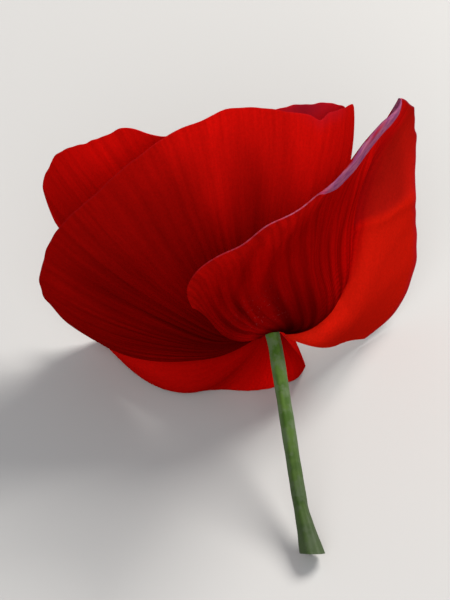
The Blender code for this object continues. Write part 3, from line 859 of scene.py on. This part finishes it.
def stemMaterial():
    nodes = Nodes("stem_green")
    turn, distance = nodes.parts(nodes.attribute("skin"))[:2]
    where = nodes.objectCoords()
    mottle, patches, grain = (nodes.noise(where, *stem[key]) for key in ("mottle", "patches", "grain"))
    flank = nodes.math('SUBTRACT', nodes.math('ABSOLUTE', turn), 0.25)
    flank = nodes.math('ABSOLUTE', flank)      # 0 on top and below
    # grey from the pale down in the mottle, and painted sheen on the flanks
    downAndSheen = nodes.plus(nodes.span(flank, 0.06, 0.2, 0.0, 0.7), nodes.span(mottle, 0.45, 0.62, 0.0, 0.9))
    colour = nodes.mix(nodes.span(patches, 0.42, 0.56), stem["shade"], stem["green"])
    colour = nodes.mix(nodes.math('MINIMUM', downAndSheen, 1.0), colour, stem["grey"])
    colour = nodes.mix(nodes.fall(distance, *stem["dryEnd"]), colour, stem["grey"])
    colour = nodes.shaded(colour, nodes.span(distance, *stem["darkEnd"], 1.0))
    normal = nodes.relief(grain, *stem["relief"])
    return nodes.finish(nodes.skin(colour, normal, stem["roughness"], stem["gloss"]))


makeStem()
print("stem made")


seedHead = {
    "foot": 2.9,
    "rays": 12,
    "sides": 144, "rings": 64,
    "profile": ((0.3, 0.0), (1.25, 0.02), (1.5, 0.8), (2.3, 2.6), (2.72, 4.4), (2.72, 5.8), (2.45, 6.9),
                (3.3, 7.25), (3.58, 7.5), (3.4, 7.85), (2.7, 8.2), (1.6, 8.65), (0.7, 9.0), (0.1, 9.1)),
    "discFrom": (7.2, 0.5),            # height where the rayed disc starts, and over how much
    "rayHeight": 0.42, "rayPower": 1.5, "rayRadius": 1.2,
    "scallop": 0.08, "scallopRadius": 3.5,
    "bodyRib": 0.018,
    "green": (0.150, 0.230, 0.070),
    "pale": (0.330, 0.400, 0.170),
    "ray": (0.050, 0.012, 0.022),
    "mottle": (900.0, 3.0, 0.6), "grain": (5200.0, 2.0, 0.6),
    "roughness": 0.7, "gloss": 0.2, "relief": (0.5, 0.1),
}


def profilePoint(profile, share):
    radii, heights = zip(*profile)
    return float(blend(radii, np.array(share))), float(blend(heights, np.array(share)))


def makeSeedHead():
    obj = ringedTube("seed_head_fine", seedHead["sides"], seedHead["rings"])
    flat = coords(obj)
    values = np.empty_like(flat)
    for i, (x, y, z) in enumerate(flat.tolist()):
        radius, height = profilePoint(seedHead["profile"], (z + 1.0) / 2.0)
        angle = math.atan2(y, x)
        ray = math.cos(seedHead["rays"] * angle)
        crest = max(0.0, ray) ** seedHead["rayPower"]
        if height > seedHead["discFrom"][0]:
            onDisc = float(rise(height, *seedHead["discFrom"]))
            height += seedHead["rayHeight"] * crest * min(1.0, radius / seedHead["rayRadius"]) * onDisc
            radius *= 1.0 + seedHead["scallop"] * ray * float(ease(radius / seedHead["scallopRadius"]))
        else:
            rib = abs(math.sin(seedHead["rays"] * angle / 2))
            radius *= 1.0 + seedHead["bodyRib"] * (rib - 0.5)
        flat[i] = (radius * math.cos(angle), radius * math.sin(angle), height)
        values[i] = (crest, height, 0.0)
    setCoords(obj, flat * mm)
    obj.data.transform(headMatrix(seedHead["foot"] * mm))
    pointVector(obj, "disc", values)
    pick(obj)
    bpy.ops.object.shade_smooth_by_angle(angle=math.radians(60))
    obj.data.materials.append(seedHeadMaterial())
    finishPiece(obj, "seed_head", "seed_head")


def seedHeadMaterial():
    nodes = Nodes("seed_head_green")
    crest, height = nodes.parts(nodes.attribute("disc"))[:2]
    where = nodes.objectCoords()
    mottle, grain = (nodes.noise(where, *seedHead[key]) for key in ("mottle", "grain"))
    colour = nodes.mix(nodes.span(mottle, 0.35, 0.7), seedHead["green"], seedHead["pale"])
    velvet = nodes.times(nodes.span(crest, 0.35, 0.8), nodes.span(height, 7.4, 7.8))     # along each ray
    colour = nodes.mix(velvet, colour, seedHead["ray"])
    normal = nodes.relief(grain, *seedHead["relief"])
    return nodes.finish(nodes.skin(colour, normal, seedHead["roughness"], seedHead["gloss"]))


stamens = {
    "count": 132,
    "seed": 7,
    "ringRadius": 2.1, "ringWall": 0.35,
    "length": (6.6, 9.6), "splay": (25.0, 62.0), "tiers": 5,
    "turnJitter": 0.4, "splayJitter": 5.0, "bowTurn": 2.4, "tipTilt": 0.5, "tipTurn": 3.1,
    "filament": 0.13, "filamentTip": 0.075, "bow": 0.3,
    "anther": (0.50, 0.34, 0.72), "lobes": (0.45, 0.28),       # half sizes, and the groove between lobes
    "violet": (0.030, 0.008, 0.026), "violetDust": 0.15,
    "dark": (0.016, 0.014, 0.024), "darkDust": 0.7,
    "dust": (0.110, 0.115, 0.110), "dustScale": (2600.0, 3.0, 0.65),
    "roughness": 0.6, "gloss": 0.35, "relief": (0.6, 0.08),
}


def makeFilament():
    obj = ringedTube("filament", 7, 8)
    flat = coords(obj)
    for i, (x, y, z) in enumerate(flat.tolist()):
        share = (z + 1.0) / 2.0
        radius = stamens["filament"] + (stamens["filamentTip"] - stamens["filament"]) * share
        flat[i] = (x * radius + stamens["bow"] * math.sin(math.pi * share), y * radius, share)
    setCoords(obj, flat)
    return obj


def makeAnther():
    deselect()
    bpy.ops.mesh.primitive_uv_sphere_add(segments=16, ring_count=9, radius=1.0, location=(0, 0, 0))
    obj = bpy.context.object
    flat = coords(obj)
    wide, deep, tall = stamens["anther"]
    depth, width = stamens["lobes"]
    groove = 1.0 - depth * bump(flat[:, 0], 0.0, width)
    flat[:, 0] *= wide
    flat[:, 1] *= deep * groove
    flat[:, 2] *= tall
    setCoords(obj, flat)
    return obj


def copyOf(source, name, matrix, stretch=1.0):
    obj = bpy.data.objects.new(name, source.data.copy())
    flat = coords(obj)
    flat[:, 2] *= stretch
    setCoords(obj, flat * mm)
    obj.data.transform(matrix)
    bpy.context.scene.collection.objects.link(obj)
    return obj


def makeStamens():
    filament, anther = makeFilament(), makeAnther()
    for part, name, colour in ((filament, "filament_violet", "violet"), (anther, "anther_dark", "dark")):
        part.data.materials.append(stamenMaterial(name, colour))
        pick(part)
        bpy.ops.object.shade_smooth()
    deselect()
    bpy.ops.mesh.primitive_torus_add(
        major_radius=stamens["ringRadius"] * mm, minor_radius=stamens["ringWall"] * mm,
        major_segments=64, minor_segments=12, location=(0, 0, stamens["ringWall"] * mm))
    ring = bpy.context.object
    ring.name = ring.data.name = "stamens_fine"
    bpy.ops.object.transform_apply(location=True, rotation=False, scale=False)
    bpy.ops.object.shade_smooth()
    ring.data.materials.clear()
    ring.data.materials.append(filament.data.materials[0])
    ring.data.transform(headMatrix(seedHead["foot"] * mm))
    draw = random.Random(stamens["seed"])
    low, high = stamens["splay"]

    def jitter(key):
        return draw.uniform(-stamens[key], stamens[key])

    made = []
    for i in range(stamens["count"]):
        turn = 2 * math.pi * (i + jitter("turnJitter")) / stamens["count"]
        tier = (i * 2 % stamens["tiers"]) / (stamens["tiers"] - 1)
        splay = math.radians(low + (high - low) * tier + jitter("splayJitter"))
        length = draw.uniform(*stamens["length"])
        place = headMatrix(seedHead["foot"] * mm) @ Matrix.Rotation(turn, 4, 'Z')
        place = place @ Matrix.Translation(Vector((stamens["ringRadius"], 0, stamens["ringWall"])) * mm)
        place = place @ Matrix.Rotation(splay, 4, 'Y')
        bow = Matrix.Rotation(jitter("bowTurn"), 4, 'Z')
        made.append(copyOf(filament, "filament_%03d" % i, place @ bow, length))
        tip = place @ Matrix.Translation((0, 0, length * mm)) @ Matrix.Rotation(jitter("tipTilt"), 4, 'X')
        tip = tip @ Matrix.Rotation(draw.uniform(0, stamens["tipTurn"]), 4, 'Z')
        made.append(copyOf(anther, "anther_%03d" % i, tip))
    deselect()
    for obj in (*made, ring):
        obj.select_set(True)
    bpy.context.view_layer.objects.active = ring
    bpy.ops.object.join()
    for part in (filament, anther):
        bpy.data.objects.remove(part, do_unlink=True)
    finishPiece(ring, "stamens", "stamens")


def stamenMaterial(name, colourName):
    nodes = Nodes(name)
    dust = nodes.noise(nodes.objectCoords(), *stamens["dustScale"])
    amount = nodes.span(dust, 0.5, 0.75, 0.0, stamens[colourName + "Dust"])
    colour = nodes.mix(amount, stamens[colourName], stamens["dust"])
    normal = nodes.relief(dust, *stamens["relief"])
    return nodes.finish(nodes.skin(colour, normal, stamens["roughness"], stamens["gloss"]))


makeSeedHead()
makeStamens()
print("seed head and stamens made")


view = {
    "aim": (-8.64, 4.71, 4.71),        # mm from the receptacle
    "elevation": 45.0,
    "distance": 560.0,
    "lens": 186.7, "sensor": 36.0,
    "clip": (0.01, 10.0),
}


def makeCamera():
    aim = receptacle + Vector(view["aim"]) * mm
    angle = math.radians(view["elevation"])
    back = Vector((0, -math.cos(angle), math.sin(angle)))
    data = bpy.data.cameras.new("camera")
    data.lens = view["lens"]
    data.sensor_width = view["sensor"]
    data.clip_start, data.clip_end = view["clip"]
    camera = bpy.data.objects.new("camera", data)
    bpy.context.scene.collection.objects.link(camera)
    camera.location = aim + back * view["distance"] * mm
    camera.rotation_mode = 'QUATERNION'
    camera.rotation_quaternion = back.to_track_quat('Z', 'Y')
    bpy.context.scene.camera = camera


studio = {
    "key": {"at": (0.42, 0.42, 0.62), "size": 0.45, "power": 11.5, "colour": (1.0, 0.97, 0.93)},
    "front": {"at": (-0.1, -0.75, 0.55), "size": 0.8, "power": 6.5, "colour": (1.0, 1.0, 1.0)},
    "lightAim": (0, 0, 0.02),
    "floor": (0.42, 0.415, 0.405, 1.0), "floorSize": 6.0, "floorRoughness": 0.85, "floorGloss": 0.2,
    "sky": (0.9, 0.93, 1.0, 1.0), "skyStrength": 0.42,
}


def makeLight(name):
    light = studio[name]
    data = bpy.data.lights.new(name, 'AREA')
    data.shape = 'DISK'
    data.size = light["size"]
    data.energy = light["power"]
    data.color = light["colour"]
    obj = bpy.data.objects.new(name, data)
    bpy.context.scene.collection.objects.link(obj)
    obj.location = Vector(light["at"])
    obj.rotation_mode = 'QUATERNION'
    obj.rotation_quaternion = (obj.location - Vector(studio["lightAim"])).to_track_quat('Z', 'Y')


def makeFloor():
    deselect()
    bpy.ops.mesh.primitive_plane_add(size=studio["floorSize"], location=(0, 0, cadLow.z))
    floor = bpy.context.object
    floor.name = "floor"
    nodes = Nodes("floor_pale")
    matt = nodes.add('ShaderNodeBsdfPrincipled', {
        "Base Color": studio["floor"], "Roughness": studio["floorRoughness"],
        "Specular IOR Level": studio["floorGloss"]})
    floor.data.materials.append(nodes.finish(matt.outputs[0]))


def makeWorld():
    world = bpy.data.worlds.new("studio")
    world.use_nodes = True
    back = world.node_tree.nodes["Background"]
    back.inputs[0].default_value = studio["sky"]
    back.inputs[1].default_value = studio["skyStrength"]
    bpy.context.scene.world = world


makeCamera()
for lightName in ("key", "front"):
    makeLight(lightName)
makeFloor()
makeWorld()
bpy.context.scene.view_settings.view_transform = 'Standard'
print("camera, floor and lights made")
